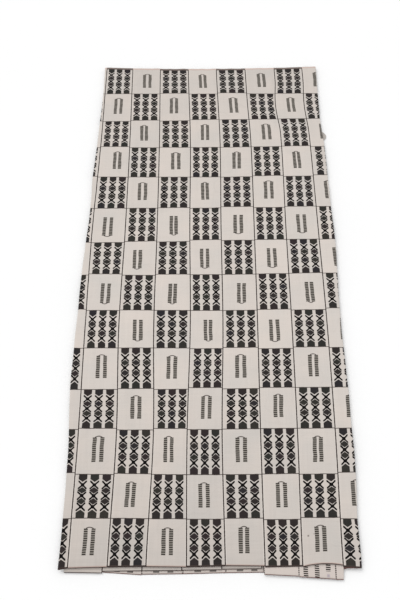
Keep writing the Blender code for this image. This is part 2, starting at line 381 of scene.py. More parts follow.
@dataclass
class FoldedCloth:
    """The path that every strip follows through the folded bundle."""

    sizes: ClothSizes = field(default_factory=ClothSizes)
    surface: Surface = field(default_factory=Surface)

    def row_place(self, y: float) -> float:
        """How far along its half a plan y lies: 0 at the fold and 1 at the near end."""
        return 1 - y / self.sizes.half_length

    def drift(self, number: int, y: float, half: Half) -> float:
        """Sideways drift of a seam that shows on the top layer.

        Args:
            number: the seam's number.
            y: the plan y.
            half: which half of the cloth.

        Returns:
            The drift in metres, to the right.
        """
        row = SEAM_DRIFT[number]
        place = min(max(self.row_place(y), 0.0), 1.0)
        if half is Half.UPPER:
            near = max(0.0, 1 - ((place - self.surface.tug_place) / self.surface.tug_reach) ** 2)
            return (smooth_value(row.columns, place) - row.tug * near * near) * MM
        return (row.far + (row.lower_half - row.far) * place) * MM

    def seam_across(self, number: int, y: float, half: Half) -> float:
        """Where a seam lies across the cloth when its sides are opened out.

        Args:
            number: the seam's number.
            y: the plan y.
            half: which half of the cloth.

        Returns:
            The seam's place in metres.
        """
        sizes = self.sizes
        last = sizes.seams_on_top - 1
        middle = last / 2
        if number < 0:
            first = -middle * sizes.strip_width + self.drift(0, y, half)
            return first - sizes.strip_width - (-number - 1) * sizes.left_turned_width
        if number > last:
            edge = middle * sizes.strip_width + self.drift(last, y, half)
            edge += sizes.strip_width + (number - last - 1) * sizes.right_turned_width
            slip = SIDE_SLIPS[number] * MM if half is Half.UPPER else 0.0
            return edge + slip * eased(1 - y / self.surface.slip_reach)
        return (number - middle) * sizes.strip_width + self.drift(number, y, half)

    def fold_lines(self, y: float, half: Half) -> tuple[float, float]:
        """The two lines, across the opened cloth, at which its sides turn under.

        Args:
            y: the plan y.
            half: which half of the cloth.

        Returns:
            The left and the right line.
        """
        overhang = self.sizes.side_radius + self.sizes.thickness / 2
        place = self.row_place(y)
        left = smooth_value(LEFT_EDGE[half], place) * MM
        right = smooth_value(RIGHT_EDGE[half], place) * MM
        return left + overhang, right - overhang

    def turned(self, across: float, lines: tuple[float, float]) -> tuple[float, float]:
        """Turns a point of the opened cloth under where it lies beyond a fold line.

        Args:
            across: its place across the opened cloth.
            lines: the two fold lines.

        Returns:
            Its plan x, and its distance from the stack's middle level.
        """
        sizes = self.sizes
        left, right = lines
        beyond = max(left - across, across - right)
        if beyond <= 0:
            return across, sizes.outer_radius
        side = -1 if across < left else 1
        line = left if side < 0 else right
        if beyond < sizes.side_arc:
            angle = beyond / sizes.side_radius
            out = sizes.side_radius * math.sin(angle)
            radius = sizes.outer_radius - sizes.side_radius * (1 - math.cos(angle))
            return line + side * out, radius
        return line - side * (beyond - sizes.side_arc), sizes.inner_radius

    def fold_axis_y(self, x: float) -> float:
        """Where the axis of the crosswise fold lies.

        Args:
            x: the plan x.

        Returns:
            The axis's plan y.
        """
        left = LEFT_EDGE[Half.UPPER][0]
        right = RIGHT_EDGE[Half.UPPER][0]
        crest = smooth_value(FAR_EDGE, (x / MM - left) / (right - left)) * MM
        form = self.surface
        place = Vector((x / form.far_wander_size, *form.far_wander_place))
        bump = form.far_wander * noise.noise(place)
        return crest + bump - self.sizes.outer_radius - self.sizes.thickness / 2

    def swell(self, x: float, y: float) -> float:
        """How far the top layer rises above its lowest level.

        Args:
            x: the plan x.
            y: the plan y.

        Returns:
            The rise in metres.
        """
        form = self.surface
        bend = form.swell_across_bend * math.sin(FULL_TURN * form.swell_across_bend_rate * y)
        turn = FULL_TURN * (x / form.swell_across + form.swell_across_start)
        across = math.sin(turn + bend)
        slant = form.swell_along_slant * x
        along = math.cos(FULL_TURN * (y / form.swell_along + form.swell_along_start + slant))
        return form.swell_height * (2 + across + along) / 4

    def relief(self, x: float, y: float) -> float:
        """Small rises and creases of the top layer beyond the slow swell.

        Args:
            x: the plan x.
            y: the plan y.

        Returns:
            The height that they add, in metres.
        """
        form = self.surface
        size = form.pucker_size
        place = Vector((x / size, y / size, form.pucker_level))
        height = form.pucker_height * noise.noise(place)
        for crease in CREASES:
            turn = math.radians(crease.turn_deg)
            along = (x - crease.x) * math.cos(turn) + (y - crease.y) * math.sin(turn)
            aside = (y - crease.y) * math.cos(turn) - (x - crease.x) * math.sin(turn)
            part = (along / crease.half_length) ** 2 + (aside / crease.half_width) ** 2
            height += crease.height * math.exp(-part)
        return height

    def seam_pull(self, across: float, y: float, half: Half, strip: Strip, row: float) -> float:
        """How far the sewing and the row lines pull the cloth down at a point.

        Args:
            across: the point's place across the opened cloth.
            y: the plan y.
            half: which half of the cloth.
            strip: the strip.
            row: the point's place in the woven rows.

        Returns:
            The depth in metres.
        """
        form = self.surface
        low = self.seam_across(strip.seam - 1, y, half)
        high = self.seam_across(strip.seam, y, half)
        gap = min(across - low, high - across)
        to_line = abs(row - round(row)) * self.sizes.row_length
        at_seam = form.seam_dip * math.exp(-((gap / form.seam_dip_width) ** 2))
        at_line = form.row_dip * math.exp(-((to_line / form.row_dip_width) ** 2))
        return at_seam + at_line

    def tuck(self, x: float, y: float, half: Half) -> float:
        """Sideways pull where a small tuck stands out of the lower right-hand fold.

        Args:
            x: the plan x.
            y: the plan y.
            half: which half of the cloth.

        Returns:
            The distance to the right in metres.
        """
        form = self.surface
        if half is Half.UPPER:
            return 0.0
        near = max(0.0, 1 - ((y - form.tuck_y) / form.tuck_half_length) ** 2)
        root = LOWER_EDGE_AT_TUCK * MM - form.tuck_root
        part = min(max((x - root) / form.tuck_root, 0.0), 1.0)
        return form.tuck_reach * near * part * part

    def row_line(self, row: int, x: float, strip: Strip, near_end: float) -> float:
        """Plan y of one of the upper half's row lines.

        Args:
            row: the line, counted from the crosswise fold.
            x: the plan x.
            strip: the strip that carries it.
            near_end: plan y of the last row line there.

        Returns:
            The line's plan y.
        """
        rows = self.sizes.rows
        if row == rows:
            return near_end
        shift = ROW_SHIFTS[row - 1]
        left = LEFT_EDGE[Half.UPPER][0]
        place = (x / MM - left) / (RIGHT_EDGE[Half.UPPER][0] - left)
        across = smooth_value((shift.left, shift.middle, shift.right), place)
        jog = ROW_JOG * math.sin(ROW_JOG_BY_STRIP * strip.seam + ROW_JOG_BY_ROW * row)
        return (rows - row) * self.sizes.row_length + (across + jog) * MM

    def row_at(
        self, x: float, run: float, half: Half, strip: Strip, radius: float, near_end: float
    ) -> float:
        """Where a point lies in the woven rows, counted from the upper near end.

        Args:
            x: the plan x.
            run: plan y, or the length along the bend from the fold's axis, added to its y.
            half: which half of the cloth.
            strip: the strip.
            radius: the point's distance from the stack's middle level.
            near_end: plan y of the upper half's last row line.

        Returns:
            The row number, with its part.
        """
        sizes = self.sizes
        axis = self.fold_axis_y(x)
        if half is Half.LOWER:
            bend = math.pi * radius - self.surface.fold_row_offset
            share = (bend + axis - run) / (bend + axis - self.surface.lower_last_line)
            return sizes.rows * (1 + share)
        above = axis + self.surface.fold_row_offset
        for row in range(1, sizes.rows + 1):
            line = self.row_line(row, x, strip, near_end)
            if run >= line:
                return sizes.rows - row + (run - line) / (above - line)
            above = line
        return (run - near_end) / sizes.row_length

    def end_y(
        self, strip: Strip, across: float, limits: tuple[float, float],
        lines: tuple[float, float], half: Half,
    ) -> float:
        """Where a strip ends at a point across it.

        Args:
            strip: the strip.
            across: the point's place across the opened cloth.
            limits: the places of the strip's two sides.
            lines: the fold lines.
            half: which half of the cloth.

        Returns:
            The end's plan y.
        """
        upper = half is Half.UPPER
        left = strip.upper_left if upper else strip.lower_left
        right = strip.upper_right if upper else strip.lower_right
        low, high = limits
        at_fold = FOLD_ENDS.get((strip.seam, half))
        if at_fold is None:
            share = (across - low) / (high - low)
            bow = strip.bow * (1 - (2 * share - 1) ** 2) if upper else 0.0
            return (left + (right - left) * share + bow) * MM
        line = lines[0] if strip.seam == LEFT_FOLD_SEAM else lines[1]
        if across <= line:
            return (left + (at_fold - left) * (across - low) / (line - low)) * MM
        if upper and strip.seam == RIGHT_FOLD_SEAM:
            x = self.turned(across, lines)[0]
            return (at_fold if x > self.surface.corner_x else right) * MM
        return (at_fold + (right - at_fold) * (across - line) / (high - line)) * MM

    def lip_rise(self, strip: Strip, radius: float, y: float) -> float:
        """How far the near end of the upper half rises or sinks.

        Args:
            strip: the strip.
            radius: the point's distance from the stack's middle level.
            y: the plan y.

        Returns:
            The rise in metres.
        """
        sizes = self.sizes
        on_top = (radius - sizes.inner_radius) / (sizes.outer_radius - sizes.inner_radius)
        reach = min(max(-y / self.surface.flap_reach, 0.0), 1.0)
        return on_top * strip.lip * MM - (1 - on_top) * reach * self.surface.flap_drop

    def points_at(self, strip: Strip, spot: Spot, knots: "Knots") -> list[Point]:
        """The points of a strip's middle surface at one place along it.

        Args:
            strip: the strip.
            spot: the place along it.
            knots: the knots across it.

        Returns:
            The points in the plan's frame, and where each lies in the weave.
        """
        plan_y = spot.y
        if spot.turn is not None:
            plan_y = self.sizes.half_length
        if spot.lip_share is not None:
            plan_y = spot.lip_share * self.surface.lip_start
        places = knots.across(self, plan_y, spot.half)
        limits = (places[0], places[-1])
        lines = self.fold_lines(plan_y, spot.half)
        return [self.point(strip, spot, plan_y, across, limits, lines) for across in places]

    def point(
        self, strip: Strip, spot: Spot, plan_y: float, across: float,
        limits: tuple[float, float], lines: tuple[float, float],
    ) -> Point:
        """One point of a strip's middle surface.

        Args:
            strip: the strip.
            spot: the place along it.
            plan_y: the plan y at which its knots are laid.
            across: the point's place across the opened cloth.
            limits: the places of the strip's two sides.
            lines: the fold lines there.

        Returns:
            The point in the plan's frame, and where it lies in the weave.
        """
        sizes = self.sizes
        half = spot.half
        x, radius = self.turned(across, lines)
        near_end = self.end_y(strip, across, limits, lines, Half.UPPER)
        last_line = near_end
        if near_end < self.surface.flap_from:
            last_line = self.surface.flap_line
        if spot.turn is not None:
            axis = self.fold_axis_y(x)
            y = axis + radius * math.sin(spot.turn)
            height = sizes.stack_middle + radius * math.cos(spot.turn)
            turned = spot.turn if half is Half.UPPER else math.pi - spot.turn
            run = axis + radius * turned
        else:
            y = plan_y
            if spot.lip_share is not None:
                own_end = self.end_y(strip, across, limits, lines, half)
                y = own_end + spot.lip_share * (self.surface.lip_start - own_end)
            height = sizes.stack_middle + (radius if half is Half.UPPER else -radius)
            run = y
        row = self.row_at(x, run, half, strip, radius, last_line)
        share = (height - sizes.thickness / 2) / (2 * sizes.outer_radius)
        lift = self.swell(x, y) + self.relief(x, y)
        height += share * (lift - self.seam_pull(across, plan_y, half, strip, row))
        if spot.turn is None and half is Half.UPPER:
            lip = eased(1 - y / self.surface.lip_start)
            height += lip * self.lip_rise(strip, radius, y)
        x += self.tuck(x, y, half) + self.edge_wander(x, y, lines, half)
        part = (across - limits[0]) / (limits[1] - limits[0])
        return Point(Vector((x - sizes.middle_x, y - sizes.middle_y, height)), part, row)

    def edge_wander(self, x: float, y: float, lines: tuple[float, float], half: Half) -> float:
        """A small sideways wander of the long folds.

        Args:
            x: the plan x.
            y: the plan y.
            lines: the fold lines.
            half: which half of the cloth.

        Returns:
            The distance to the right in metres.
        """
        form = self.surface
        near = max(eased(1 - abs(x - line) / form.edge_wander_reach) for line in lines)
        if near == 0.0:
            return 0.0
        level = form.upper_wander_level if half is Half.UPPER else form.lower_wander_level
        return near * form.edge_wander * noise.noise(Vector((level, y / form.edge_wander_size, 0)))


@dataclass(frozen=True)
class Knots:
    """The knots across a strip, closer together at its seams and where it turns under."""

    strip: Strip
    shares: tuple[float, ...] = (0, 0.02, 0.05, 0.1, 0.2, 0.35, 0.5, 0.65, 0.8, 0.9, 0.95, 0.98, 1)
    turned_shares: tuple[float, ...] = (0, 0.03, 0.1, 0.25, 0.45, 0.65, 0.85)
    arc_steps: int = 8

    def across(self, cloth: FoldedCloth, y: float, half: Half) -> list[float]:
        """Places the knots across the opened cloth.

        Args:
            cloth: the folded cloth.
            y: the plan y.
            half: which half of the cloth.

        Returns:
            The places, from the strip's left side to its right side.
        """
        lines = cloth.fold_lines(y, half)
        gap = cloth.sizes.seam_gap / 2
        low = cloth.seam_across(self.strip.seam - 1, y, half) + gap
        high = cloth.seam_across(self.strip.seam, y, half) - gap
        arc = cloth.sizes.side_arc
        steps = [arc * step / self.arc_steps for step in range(self.arc_steps + 1)]
        if self.strip.seam == LEFT_FOLD_SEAM:
            start = lines[0] - arc
            knots = [low + (start - low) * share for share in self.turned_shares]
            knots += [start + step for step in steps]
            return knots + [high - (high - lines[0]) * share for share in self.turned_shares[::-1]]
        if self.strip.seam == RIGHT_FOLD_SEAM:
            end = lines[1] + arc
            run = cloth.surface.corner_run
            corner = 2 * lines[1] + arc - cloth.surface.corner_x
            corner = min(max(corner, end + run), high - 2 * run)
            knots = [low + (lines[1] - low) * share for share in self.turned_shares]
            knots += [lines[1] + step for step in steps]
            knots += [corner - run / 2, corner + run / 2]
            inner = corner + run / 2
            return knots + [high - (high - inner) * share for share in self.turned_shares[::-1]]
        return [low + (high - low) * share for share in self.shares]


@dataclass(frozen=True)
class Spots:
    """The places along a strip at which its sheet has points."""

    per_row: int = 6
    fold_steps: int = 12
    lip_steps: int = 4
    flap_steps: int = 8
    tuck_steps: int = 4
    flap_end: float = -10.0

    def along(self, cloth: FoldedCloth, strip: Strip) -> list[Spot]:
        """Places the points of a strip's length.

        Args:
            cloth: the folded cloth.
            strip: the strip.

        Returns:
            The places from its upper near end round to its lower near end.
        """
        sizes = cloth.sizes
        form = cloth.surface
        step = sizes.row_length / self.per_row
        rows = [step * k for k in range(1, sizes.rows * self.per_row - 1)]
        rows = [y for y in rows if y > form.lip_start + step / 4]
        lower = list(rows)
        if strip.seam == RIGHT_FOLD_SEAM:
            count = self.tuck_steps + 1
            parts = [(k + 0.5) / self.tuck_steps for k in range(-count, count)]
            lower = sorted(lower + [form.tuck_y + form.tuck_half_length * part for part in parts])
        steps = self.flap_steps if self.hangs_out(strip) else self.lip_steps
        lips = [k / steps for k in range(steps + 1)]
        turns = [math.pi * k / self.fold_steps for k in range(self.fold_steps + 1)]
        spots = [Spot(Half.UPPER, lip_share=share) for share in lips]
        spots += [Spot(Half.UPPER, y) for y in rows]
        spots += [
            Spot(Half.UPPER if turn <= math.pi / 2 else Half.LOWER, turn=turn) for turn in turns
        ]
        spots += [Spot(Half.LOWER, y) for y in reversed(lower)]
        return spots + [Spot(Half.LOWER, lip_share=share) for share in reversed(lips)]

    def hangs_out(self, strip: Strip) -> bool:
        """Whether a strip's upper end stands out beyond the top layer."""
        return min(strip.upper_left, strip.upper_right) < self.flap_end


# Building the woven sheets and their sewing.


def add_object(name: str, data: bpy.types.ID) -> bpy.types.Object:
    """Adds an object to the scene.

    Args:
        name: its name.
        data: its mesh, light or camera.

    Returns:
        The new object.
    """
    made = bpy.data.objects.new(name, data)
    bpy.context.scene.collection.objects.link(made)
    return made


@dataclass
class WovenStrips:
    """The fifteen woven strips, each one thin sheet along the folded path."""

    cloth: FoldedCloth
    spots: Spots = field(default_factory=Spots)
    sheet_thickness: float = 0.0011
    uv_inset: float = 0.002
    sheets: dict[int, bpy.types.Object] = field(default_factory=dict)
    points: dict[int, list[list[Point]]] = field(default_factory=dict)

    def build(self, finishes: "ClothFinishes") -> None:
        """Makes every strip.

        Args:
            finishes: the materials of the cloth's face, reverse and edges.
        """
        for strip in STRIPS:
            self.points[strip.seam] = self.lay_out(strip)
            self.sheets[strip.seam] = self.build_strip(strip, finishes)
            log.info("%s laid", self.sheets[strip.seam].name)

    def lay_out(self, strip: Strip) -> list[list[Point]]:
        """Places a strip's points along the folded path.

        Args:
            strip: the strip to lay.

        Returns:
            One list of points across the strip for each place along it.
        """
        knots = Knots(strip)
        spots = self.spots.along(self.cloth, strip)
        return [self.cloth.points_at(strip, spot, knots) for spot in spots]

    def build_strip(self, strip: Strip, finishes: "ClothFinishes") -> bpy.types.Object:
        """Bends a grid along the laid-out points and gives it its thickness.

        Args:
            strip: the strip to build.
            finishes: the materials of the cloth.

        Returns:
            The strip's object.
        """
        laid = self.points[strip.seam]
        across_spans = len(laid[0]) - 1
        along_spans = len(laid) - 1
        sheet = bmesh.new()
        weave = sheet.loops.layers.uv.new("weave")
        hem = sheet.loops.layers.uv.new("hem")
        bmesh.ops.create_grid(sheet, x_segments=across_spans, y_segments=along_spans, size=1.0)
        places: dict[int, tuple[int, int]] = {}
        for vertex in sheet.verts:
            index = round((vertex.co.x + 1) / 2 * across_spans)
            step = round((vertex.co.y + 1) / 2 * along_spans)
            places[vertex.index] = (step, index)
            vertex.co = laid[step][index].place
        ends = self.end_distances(laid)
        offset = strip.seam + UV_STRIP_OFFSET
        for face in sheet.faces:
            face.smooth = True
            for loop in face.loops:
                step, index = places[loop.vert.index]
                point = laid[step][index]
                inner = self.uv_inset + (1 - 2 * self.uv_inset) * point.across
                loop[weave].uv = (offset + inner, point.row)
                loop[hem].uv = (ends[step][index] / MM / HEM_UV_SCALE, 0.5)
        mesh = bpy.data.meshes.new("woven_" + strip.name)
        sheet.to_mesh(mesh)
        sheet.free()
        for material in finishes.in_order():
            mesh.materials.append(material)
        made = add_object(mesh.name, mesh)
        shell = made.modifiers.new("cloth_thickness", "SOLIDIFY")
        shell.thickness = self.sheet_thickness
        shell.offset = 0.0
        shell.use_even_offset = True
        shell.material_offset = 1
        shell.material_offset_rim = 2
        return made

    def end_distances(self, laid: list[list[Point]]) -> list[list[float]]:
        """How far each point lies from the strip's nearer cut end, along the cloth.

        Args:
            laid: the strip's points.

        Returns:
            The distances in metres, in the same lists as the points.
        """
        from_start = self.run_lengths(laid)
        from_end = reversed(self.run_lengths(laid[::-1]))
        return [list(map(min, start, end)) for start, end in zip(from_start, from_end)]

    def run_lengths(self, laid: list[list[Point]]) -> list[list[float]]:
        """How far each point lies along the cloth from the first row of points.

        Args:
            laid: the rows of points.

        Returns:
            The distances in metres, in the same lists as the points.
        """
        runs = [[0.0] * len(laid[0])]
        for before, here in zip(laid, laid[1:]):
            steps = [(b.place - a.place).length for a, b in zip(before, here)]
            runs.append([run + step for run, step in zip(runs[-1], steps)])
        return runs


@dataclass
class SeamSewing:
    """Slanting stitches that join neighbouring strips on the top layer."""

    strips: WovenStrips
    pitch: float = 0.0062
    pitch_drift: float = 0.25
    reach: float = 0.00135
    reach_drift: float = 0.3
    slant: float = 0.0016
    thread_radius: float = 0.00028
    end_thinning: float = 0.35
    rise: float = 0.0002
    top_clearance: float = 0.0022
    noise_by_seam: float = 5.3
    noise_by_stitch: float = 0.37
    sides: int = 5
    rings: int = 5
    batch: int = 12
    pieces: dict[int, bpy.types.Object] = field(default_factory=dict)

    def build(self, material: bpy.types.Material) -> None:
        """Sews every seam that shows on the top layer.

        Args:
            material: the sewing thread.
        """
        for seam in range(self.strips.cloth.sizes.seams_on_top):
            self.pieces[seam] = self.sew(seam, material)
            log.info("%s sewn", self.pieces[seam].name)

    def seam_line(self, seam: int) -> list[tuple[Vector, Vector, Vector]]:
        """The top layer's seam as places, each with its directions along and up.

        Args:
            seam: the seam's number.

        Returns:
            A list of place, direction along the seam and direction out of the cloth.
        """
        left = [row[-1].place for row in self.strips.points[seam]]
        right = [row[0].place for row in self.strips.points[seam + 1]]
        least = self.strips.cloth.sizes.stack_middle + self.top_clearance
        top = [(a + b) / 2 for a, b in zip(left, right) if (a.z + b.z) / 2 > least]
        line = []
        for index, place in enumerate(top):
            ahead = top[min(index + 1, len(top) - 1)] - top[max(index - 1, 0)]
            along = ahead.normalized()
            out = Vector((1, 0, 0)).cross(along).normalized()
            line.append((place + out * self.strips.sheet_thickness / 2, along, out))
        return line

    def sew(self, seam: int, material: bpy.types.Material) -> bpy.types.Object:
        """Makes the stitches of one seam.

        Args:
            seam: the seam's number.
            material: the sewing thread.

        Returns:
            The object that holds the seam's stitches.
        """
        line = self.seam_line(seam)
        mesh = bpy.data.meshes.new(f"seam_stitches_{seam + 1:02d}")
        whole = bmesh.new()
        sewing = bmesh.new()
        along = self.pitch
        count = 0
        for (start, _, _), (end, ahead, out) in zip(line, line[1:]):
            span = (end - start).length
            while along < span:
                place = start.lerp(end, along / span)
                seed = Vector((seam * self.noise_by_seam, count * self.noise_by_stitch, 1.0))
                drift = noise.noise(seed)
                self.add_stitch(sewing, place, ahead, out, drift)
                along += self.pitch * (1 + self.pitch_drift * drift)
                count += 1
                if count % self.batch == 0:
                    self.gather(whole, sewing, mesh)
            along -= span
        self.gather(whole, sewing, mesh)
        whole.to_mesh(mesh)
        sewing.free()
        whole.free()
        mesh.materials.append(material)
        return add_object(mesh.name, mesh)

    def gather(
        self, whole: bmesh.types.BMesh, sewing: bmesh.types.BMesh, mesh: bpy.types.Mesh
    ) -> None:
        """Moves a batch of stitches into the seam's whole mesh, which keeps each batch small.

        Args:
            whole: all the seam's stitches so far.
            sewing: the batch, emptied here.
            mesh: the mesh that carries the batch over.
        """
        sewing.to_mesh(mesh)
        whole.from_mesh(mesh)
        sewing.clear()

    def add_stitch(
        self, sewing: bmesh.types.BMesh, place: Vector, ahead: Vector, out: Vector, drift: float
    ) -> None:
        """Adds one slanting stitch over the seam.

        Args:
            sewing: the mesh that it joins.
            place: its middle on the seam.
            ahead: the direction along the seam.
            out: the direction out of the cloth.
            drift: an even scatter from -1 to 1.
        """
        side = ahead.cross(out).normalized()
        reach = self.reach * (1 + self.reach_drift * drift)
        half = side * reach + ahead * self.slant / 2 * (1 + drift)
        loops = []
        for ring in range(self.rings + 1):
            part = 2 * ring / self.rings - 1
            lift = self.rise * (1 - part * part) - self.thread_radius * part * part
            middle = place + half * part + out * lift
            thin = self.thread_radius * (1 - self.end_thinning * part * part)
            made = bmesh.ops.create_circle(
                sewing, cap_ends=ring in (0, self.rings), segments=self.sides, radius=thin
            )
            turn = half.normalized().to_track_quat("Z", "Y").to_matrix().to_4x4()
            bmesh.ops.transform(
                sewing, matrix=Matrix.Translation(middle) @ turn, verts=made["verts"]
            )
            loops.append(made["verts"])
        for near, far in zip(loops, loops[1:]):
            edges = [edge for vert in near + far for edge in vert.link_edges]
            between = {e for ring in (near, far) for e in edges if self.joins_ring(e, ring)}
            bmesh.ops.bridge_loops(sewing, edges=list(between))
        for face in (face for loop in loops for vert in loop for face in vert.link_faces):
            face.smooth = True

    def joins_ring(self, edge: bmesh.types.BMEdge, ring: list[bmesh.types.BMVert]) -> bool:
        """Whether both ends of an edge lie on a ring."""
        return edge.verts[0] in ring and edge.verts[1] in ring


# Shader maths and finishes.


Number = Union["Wire", float]
Colour = tuple[float, float, float, float]
ColourLike = Union[bpy.types.NodeSocket, Colour]


def srgb(*channels: float) -> Colour:
    """A scene-linear colour from the values seen on a screen.

    Args:
        channels: red, green and blue, from 0 to 255.

    Returns:
        The colour, opaque.
    """
    shares = [value / 255 for value in channels]
    red, green, blue = (
        share / 12.92 if share <= 0.04045 else ((share + 0.055) / 1.055) ** 2.4
        for share in shares
    )
    return red, green, blue, 1.0


def joined_by(operation: str, turned: bool = False) -> Callable[["Wire", Number], "Wire"]:
    """A method of Wire that joins it and another number by a Math node.

    Args:
        operation: the node's operation.
        turned: whether the other number comes first.

    Returns:
        The method.
    """

    def join(wire: "Wire", other: Number) -> "Wire":
        """The two numbers joined."""
        values = (other, wire) if turned else (wire, other)
        return wire.shader.math(operation, *values)

    return join


class Wire:
    """A number on a shader socket, with plain arithmetic."""

    def __init__(self, shader: "Shader", socket: bpy.types.NodeSocket) -> None:
        """Keeps the socket and the shader it belongs to."""
        self.shader = shader
        self.socket = socket

    __add__ = joined_by("ADD")
    __radd__ = joined_by("ADD", turned=True)
    __sub__ = joined_by("SUBTRACT")
    __rsub__ = joined_by("SUBTRACT", turned=True)
    __mul__ = joined_by("MULTIPLY")
    __rmul__ = joined_by("MULTIPLY", turned=True)
    __truediv__ = joined_by("DIVIDE")
    __mod__ = joined_by("FLOORED_MODULO")
    most = joined_by("MAXIMUM")
    least = joined_by("MINIMUM")
    above = joined_by("GREATER_THAN")

    def __abs__(self) -> "Wire":
        """The size of this, without its sign."""
        return self.shader.math("ABSOLUTE", self)

    def floor(self) -> "Wire":
        """The whole number below this."""
        return self.shader.math("FLOOR", self)

    def wrapped(self, half: float) -> "Wire":
        """This brought back into the span from -half to half."""
        return self.shader.math("WRAP", self, half, -half)

    def equals(self, number: float) -> "Wire":
        """1 where this, a whole number, is the one given, or else 0."""
        return self.shader.inside(abs(self - number) - 0.5)


class Shader:
    """One material and the nodes added to it."""

    def __init__(self, name: str) -> None:
        """Starts a material that holds only its main shader.

        Args:
            name: the material's name.
        """
        self.material = bpy.data.materials.new(name)
        self.material.use_nodes = True
        self.tree = self.material.node_tree
        self.surface = self.tree.nodes["Principled BSDF"]

    def node(
        self,
        kind: str,
        settings: dict[str, object] | None = None,
        inputs: dict[str | int, object] | None = None,
    ) -> bpy.types.Node:
        """Adds a node.

        Args:
            kind: the node's type.
            settings: its settings, which are set first.
            inputs: a value or a link for each of its sockets.

        Returns:
            The new node.
        """
        made = self.tree.nodes.new(kind)
        for name, value in (settings or {}).items():
            setattr(made, name, value)
        for name, value in (inputs or {}).items():
            self.feed(made.inputs[name], value)
        return made

    def feed(self, socket: bpy.types.NodeSocket, value: object) -> None:
        """Links a socket or gives it a value.

        Args:
            socket: the socket to fill.
            value: a wire, another socket, or a plain value.
        """
        if isinstance(value, Wire):
            self.tree.links.new(value.socket, socket)
        elif isinstance(value, bpy.types.NodeSocket):
            self.tree.links.new(value, socket)
        else:
            socket.default_value = value

    def math(self, operation: str, *values: Number) -> Wire:
        """A Math node on up to three values."""
        made = self.node("ShaderNodeMath", {"operation": operation}, dict(enumerate(values)))
        return Wire(self, made.outputs[0])

    def inside(self, distance: Wire, soft: float = 0.5) -> Wire:
        """A mask of a shape.

        Args:
            distance: how far outside the shape's edge a point lies, in mm.
            soft: the width of the soft edge, in mm.

        Returns:
            1 inside the shape and 0 outside it.
        """
        settings = {"operation": "MULTIPLY_ADD", "use_clamp": True}
        made = self.node("ShaderNodeMath", settings, {0: distance, 1: -1 / soft, 2: 0.5})
        return Wire(self, made.outputs[0])

    def uv(self, name: str) -> tuple[Wire, Wire]:
        """The two numbers of a UV map.

        Args:
            name: the map's name.

        Returns:
            The numbers across and along.
        """
        made = self.node("ShaderNodeUVMap", {"uv_map": name})
        parts = self.node("ShaderNodeSeparateXYZ", inputs={0: made.outputs[0]})
        return Wire(self, parts.outputs[0]), Wire(self, parts.outputs[1])

    def vector(self, x: Number, y: Number, z: Number = 0.0) -> bpy.types.NodeSocket:
        """A vector of three numbers."""
        return self.node("ShaderNodeCombineXYZ", inputs={0: x, 1: y, 2: z}).outputs[0]

    def noise(self, place: bpy.types.NodeSocket, scale: float, detail: float = 2.0) -> Wire:
        """Smooth noise from 0 to 1, mostly near 0.5."""
        inputs = {"Vector": place, "Scale": scale, "Detail": detail}
        return Wire(self, self.node("ShaderNodeTexNoise", inputs=inputs).outputs[0])

    def chance(self, place: bpy.types.NodeSocket) -> Wire:
        """An even scatter from 0 to 1 that differs for each whole place."""
        return Wire(self, self.node("ShaderNodeTexWhiteNoise", inputs={"Vector": place}).outputs[0])

    def mix(
        self, share: Number, first: ColourLike, second: ColourLike, blend: str = "MIX"
    ) -> bpy.types.NodeSocket:
        """Mixes two colours.

        Args:
            share: how much of the second shows.
            first: the colour below.
            second: the colour above.
            blend: how they join.

        Returns:
            The mixed colour.
        """
        settings = {"data_type": "RGBA", "blend_type": blend}
        # Sockets 6 and 7 and output 2 are the node's colour ones.
        made = self.node("ShaderNodeMix", settings, {0: share, 6: first, 7: second})
        return made.outputs[2]

    def shade(self, colour: ColourLike, value: Wire) -> bpy.types.NodeSocket:
        """A colour made lighter or darker by a number near 1."""
        grey = self.node("ShaderNodeCombineColor", inputs={0: value, 1: value, 2: value})
        return self.mix(1.0, colour, grey.outputs[0], "MULTIPLY")

    def ramp(self, value: Wire, stops: tuple[Colour, ...]) -> bpy.types.NodeSocket:
        """Evenly spaced colours along a number.

        Args:
            value: the number, from 0 to 1.
            stops: the colours.

        Returns:
            The colour at the number.
        """
        made = self.node("ShaderNodeValToRGB", inputs={0: value})
        elements = made.color_ramp.elements
        while len(elements) < len(stops):
            elements.new(0.5)
        for index, colour in enumerate(stops):
            elements[index].position = index / (len(stops) - 1)
            elements[index].color = colour
        return made.outputs[0]

    def finish(
        self, colour: bpy.types.NodeSocket, height: Wire, depth: float, roughness: float
    ) -> bpy.types.Material:
        """Joins colour and relief to the main shader.

        Args:
            colour: the colour of the surface.
            height: the relief, from about 0 to 1.
            depth: how deep the relief is, in metres.
            roughness: the roughness all over.

        Returns:
            The finished material.
        """
        bump = self.node("ShaderNodeBump", inputs={"Distance": depth, "Height": height})
        self.feed(self.surface.inputs["Base Color"], colour)
        self.feed(self.surface.inputs["Normal"], bump.outputs[0])
        self.feed(self.surface.inputs["Roughness"], roughness)
        self.feed(self.surface.inputs["Specular IOR Level"], SPECULAR_LEVEL)
        return self.material


